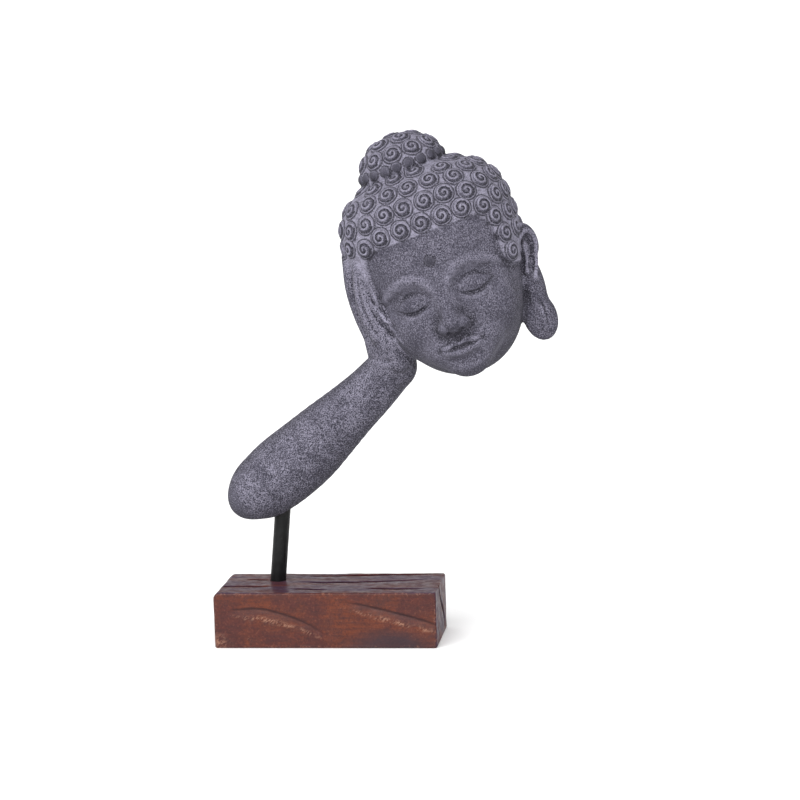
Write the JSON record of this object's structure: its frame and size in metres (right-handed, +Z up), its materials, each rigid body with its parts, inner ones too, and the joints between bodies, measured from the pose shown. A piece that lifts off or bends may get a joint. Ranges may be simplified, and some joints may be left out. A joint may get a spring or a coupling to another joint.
{
  "type": "resting buddha head sculpture on a rod stand",
  "caption": "Stone head with tight curls and a top knot, leaning on its hand and forearm, on a steel rod in a stained wood block.",
  "frame": {"origin": "centre of the wood block's underside, on the surface that the sculpture stands on", "axes": "+Z up, +X to the right as the face is seen from the front, along the block, so the face looks along -Y"},
  "size_m": [0.2736, 0.1218, 0.4003],
  "materials": {
    "cast_stone": "matt grey cast stone, pitted, with lighter dry-brushed high points",
    "black_steel": "black paint, a little worn",
    "stained_wood": "red-brown stain under a thin gloss, with carved gouges and light worn edges"
  },
  "bodies": {
    "root": {"stone_figure": "cast_stone", "steel_rod": "black_steel", "wood_block": "stained_wood"}
  },
  "joints": []
}
